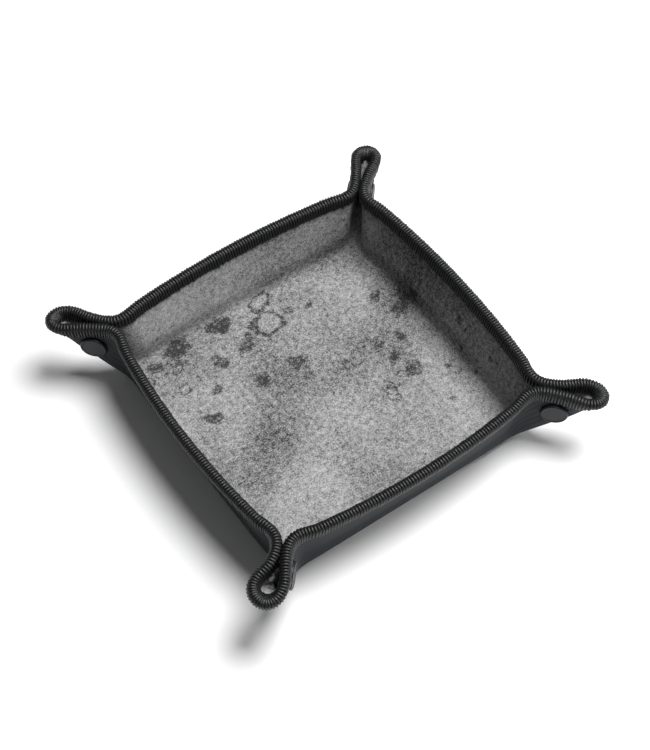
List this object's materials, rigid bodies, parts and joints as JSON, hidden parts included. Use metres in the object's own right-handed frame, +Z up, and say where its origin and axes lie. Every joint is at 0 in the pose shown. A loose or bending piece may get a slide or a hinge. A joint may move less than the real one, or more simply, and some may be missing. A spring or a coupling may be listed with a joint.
{
  "type": "folding dice tray",
  "caption": "Square padded tray for rolling dice, folded from one flat mat: its corners are pinched into ears and held by snap fasteners.",
  "frame": {"origin": "centre of the floor panel's underside, on the surface that the tray stands on", "axes": "+Z up out of the open tray; +X and +Y square to the walls, which face east (+X), north (+Y), west and south; the ears point along the diagonals"},
  "size_m": [0.1824, 0.1824, 0.0382],
  "materials": {
    "print_cloth": "matt jersey printed with grey cratered stone",
    "backing_cloth": "dark blue-grey fine diagonal twill over closed-cell foam",
    "thread": "black overlock thread, slightly glossy",
    "snap_plastic": "dark grey satin moulded plastic"
  },
  "bodies": {
    "floor": {"floor_foam": "backing_cloth", "floor_face": "print_cloth"},
    "wall_east": {"wall_east_foam": "backing_cloth", "wall_east_face": "print_cloth", "wall_east_edge": "thread"},
    "wall_north": {"wall_north_foam": "backing_cloth", "wall_north_face": "print_cloth", "wall_north_edge": "thread"},
    "wall_west": {"wall_west_foam": "backing_cloth", "wall_west_face": "print_cloth", "wall_west_edge": "thread"},
    "wall_south": {"wall_south_foam": "backing_cloth", "wall_south_face": "print_cloth", "wall_south_edge": "thread"},
    "ear_ne_east": {"ear_ne_east_foam": "backing_cloth", "ear_ne_east_face": "print_cloth", "ear_ne_east_edge": "thread", "snap_ne_socket_cap": "snap_plastic", "snap_ne_socket": "snap_plastic"},
    "ear_ne_north": {"ear_ne_north_foam": "backing_cloth", "ear_ne_north_face": "print_cloth", "ear_ne_north_edge": "thread", "snap_ne_stud_cap": "snap_plastic", "snap_ne_stud": "snap_plastic"},
    "ear_ne_tip": {"ear_ne_tip": "backing_cloth"},
    "ear_nw_north": {"ear_nw_north_foam": "backing_cloth", "ear_nw_north_face": "print_cloth", "ear_nw_north_edge": "thread", "snap_nw_socket_cap": "snap_plastic", "snap_nw_socket": "snap_plastic"},
    "ear_nw_west": {"ear_nw_west_foam": "backing_cloth", "ear_nw_west_face": "print_cloth", "ear_nw_west_edge": "thread", "snap_nw_stud_cap": "snap_plastic", "snap_nw_stud": "snap_plastic"},
    "ear_nw_tip": {"ear_nw_tip": "backing_cloth"},
    "ear_sw_west": {"ear_sw_west_foam": "backing_cloth", "ear_sw_west_face": "print_cloth", "ear_sw_west_edge": "thread", "snap_sw_socket_cap": "snap_plastic", "snap_sw_socket": "snap_plastic"},
    "ear_sw_south": {"ear_sw_south_foam": "backing_cloth", "ear_sw_south_face": "print_cloth", "ear_sw_south_edge": "thread", "snap_sw_stud_cap": "snap_plastic", "snap_sw_stud": "snap_plastic"},
    "ear_sw_tip": {"ear_sw_tip": "backing_cloth"},
    "ear_se_south": {"ear_se_south_foam": "backing_cloth", "ear_se_south_face": "print_cloth", "ear_se_south_edge": "thread", "snap_se_socket_cap": "snap_plastic", "snap_se_socket": "snap_plastic"},
    "ear_se_east": {"ear_se_east_foam": "backing_cloth", "ear_se_east_face": "print_cloth", "ear_se_east_edge": "thread", "snap_se_stud_cap": "snap_plastic", "snap_se_stud": "snap_plastic"},
    "ear_se_tip": {"ear_se_tip": "backing_cloth"}
  },
  "joints": [
    {"name": "wall_east_fold", "type": "hinge", "parent": "floor", "child": "wall_east", "pos_m": [0.064, 0, 0.0015], "axis": [0, 1, 0], "range_deg": [0, 72.5]},
    {"name": "wall_north_fold", "type": "hinge", "parent": "floor", "child": "wall_north", "pos_m": [0, 0.064, 0.0015], "axis": [-1, 0, 0], "range_deg": [0, 72.5]},
    {"name": "wall_west_fold", "type": "hinge", "parent": "floor", "child": "wall_west", "pos_m": [-0.064, 0, 0.0015], "axis": [0, -1, 0], "range_deg": [0, 72.5]},
    {"name": "wall_south_fold", "type": "hinge", "parent": "floor", "child": "wall_south", "pos_m": [0, -0.064, 0.0015], "axis": [1, 0, 0], "range_deg": [0, 72.5]},
    {"name": "ear_ne_east_pinch", "type": "hinge", "parent": "wall_east", "child": "ear_ne_east", "pos_m": [0.064, 0.05976, 0.0015], "axis": [0.1378, 0.1378, 0.9808], "range_deg": [0, 40.78]},
    {"name": "ear_ne_north_pinch", "type": "hinge", "parent": "wall_north", "child": "ear_ne_north", "pos_m": [0.05976, 0.064, 0.0015], "axis": [-0.1378, -0.1378, -0.9808], "range_deg": [0, 40.78]},
    {"name": "ear_ne_tip_fold", "type": "hinge", "parent": "ear_ne_east", "child": "ear_ne_tip", "pos_m": [0.06487, 0.06487, 0.00125], "axis": [-0.5281, -0.5281, -0.665], "range_deg": [0, 159.65]},
    {"name": "ear_nw_north_pinch", "type": "hinge", "parent": "wall_north", "child": "ear_nw_north", "pos_m": [-0.05976, 0.064, 0.0015], "axis": [-0.1378, 0.1378, 0.9808], "range_deg": [0, 40.78]},
    {"name": "ear_nw_west_pinch", "type": "hinge", "parent": "wall_west", "child": "ear_nw_west", "pos_m": [-0.064, 0.05976, 0.0015], "axis": [0.1378, -0.1378, -0.9808], "range_deg": [0, 40.78]},
    {"name": "ear_nw_tip_fold", "type": "hinge", "parent": "ear_nw_north", "child": "ear_nw_tip", "pos_m": [-0.06487, 0.06487, 0.00125], "axis": [0.5281, -0.5281, -0.665], "range_deg": [0, 159.65]},
    {"name": "ear_sw_west_pinch", "type": "hinge", "parent": "wall_west", "child": "ear_sw_west", "pos_m": [-0.064, -0.05976, 0.0015], "axis": [-0.1378, -0.1378, 0.9808], "range_deg": [0, 40.78]},
    {"name": "ear_sw_south_pinch", "type": "hinge", "parent": "wall_south", "child": "ear_sw_south", "pos_m": [-0.05976, -0.064, 0.0015], "axis": [0.1378, 0.1378, -0.9808], "range_deg": [0, 40.78]},
    {"name": "ear_sw_tip_fold", "type": "hinge", "parent": "ear_sw_west", "child": "ear_sw_tip", "pos_m": [-0.06487, -0.06487, 0.00125], "axis": [0.5281, 0.5281, -0.665], "range_deg": [0, 159.65]},
    {"name": "ear_se_south_pinch", "type": "hinge", "parent": "wall_south", "child": "ear_se_south", "pos_m": [0.05976, -0.064, 0.0015], "axis": [0.1378, -0.1378, 0.9808], "range_deg": [0, 40.78]},
    {"name": "ear_se_east_pinch", "type": "hinge", "parent": "wall_east", "child": "ear_se_east", "pos_m": [0.064, -0.05976, 0.0015], "axis": [-0.1378, 0.1378, -0.9808], "range_deg": [0, 40.78]},
    {"name": "ear_se_tip_fold", "type": "hinge", "parent": "ear_se_south", "child": "ear_se_tip", "pos_m": [0.06487, -0.06487, 0.00125], "axis": [-0.5281, 0.5281, -0.665], "range_deg": [0, 159.65]}
  ],
  "couplings": [
    {"joint": "wall_north_fold", "follows": "wall_east_fold", "ratio": 1},
    {"joint": "wall_west_fold", "follows": "wall_east_fold", "ratio": 1},
    {"joint": "wall_south_fold", "follows": "wall_east_fold", "ratio": 1},
    {"joint": "ear_ne_east_pinch", "follows": "wall_east_fold", "ratio": 0.55555},
    {"joint": "ear_ne_north_pinch", "follows": "wall_east_fold", "ratio": 0.55555},
    {"joint": "ear_ne_tip_fold", "follows": "wall_east_fold", "ratio": 2.1951},
    {"joint": "ear_nw_north_pinch", "follows": "wall_east_fold", "ratio": 0.55555},
    {"joint": "ear_nw_west_pinch", "follows": "wall_east_fold", "ratio": 0.55555},
    {"joint": "ear_nw_tip_fold", "follows": "wall_east_fold", "ratio": 2.1951},
    {"joint": "ear_sw_west_pinch", "follows": "wall_east_fold", "ratio": 0.55555},
    {"joint": "ear_sw_south_pinch", "follows": "wall_east_fold", "ratio": 0.55555},
    {"joint": "ear_sw_tip_fold", "follows": "wall_east_fold", "ratio": 2.1951},
    {"joint": "ear_se_south_pinch", "follows": "wall_east_fold", "ratio": 0.55555},
    {"joint": "ear_se_east_pinch", "follows": "wall_east_fold", "ratio": 0.55555},
    {"joint": "ear_se_tip_fold", "follows": "wall_east_fold", "ratio": 2.1951}
  ]
}
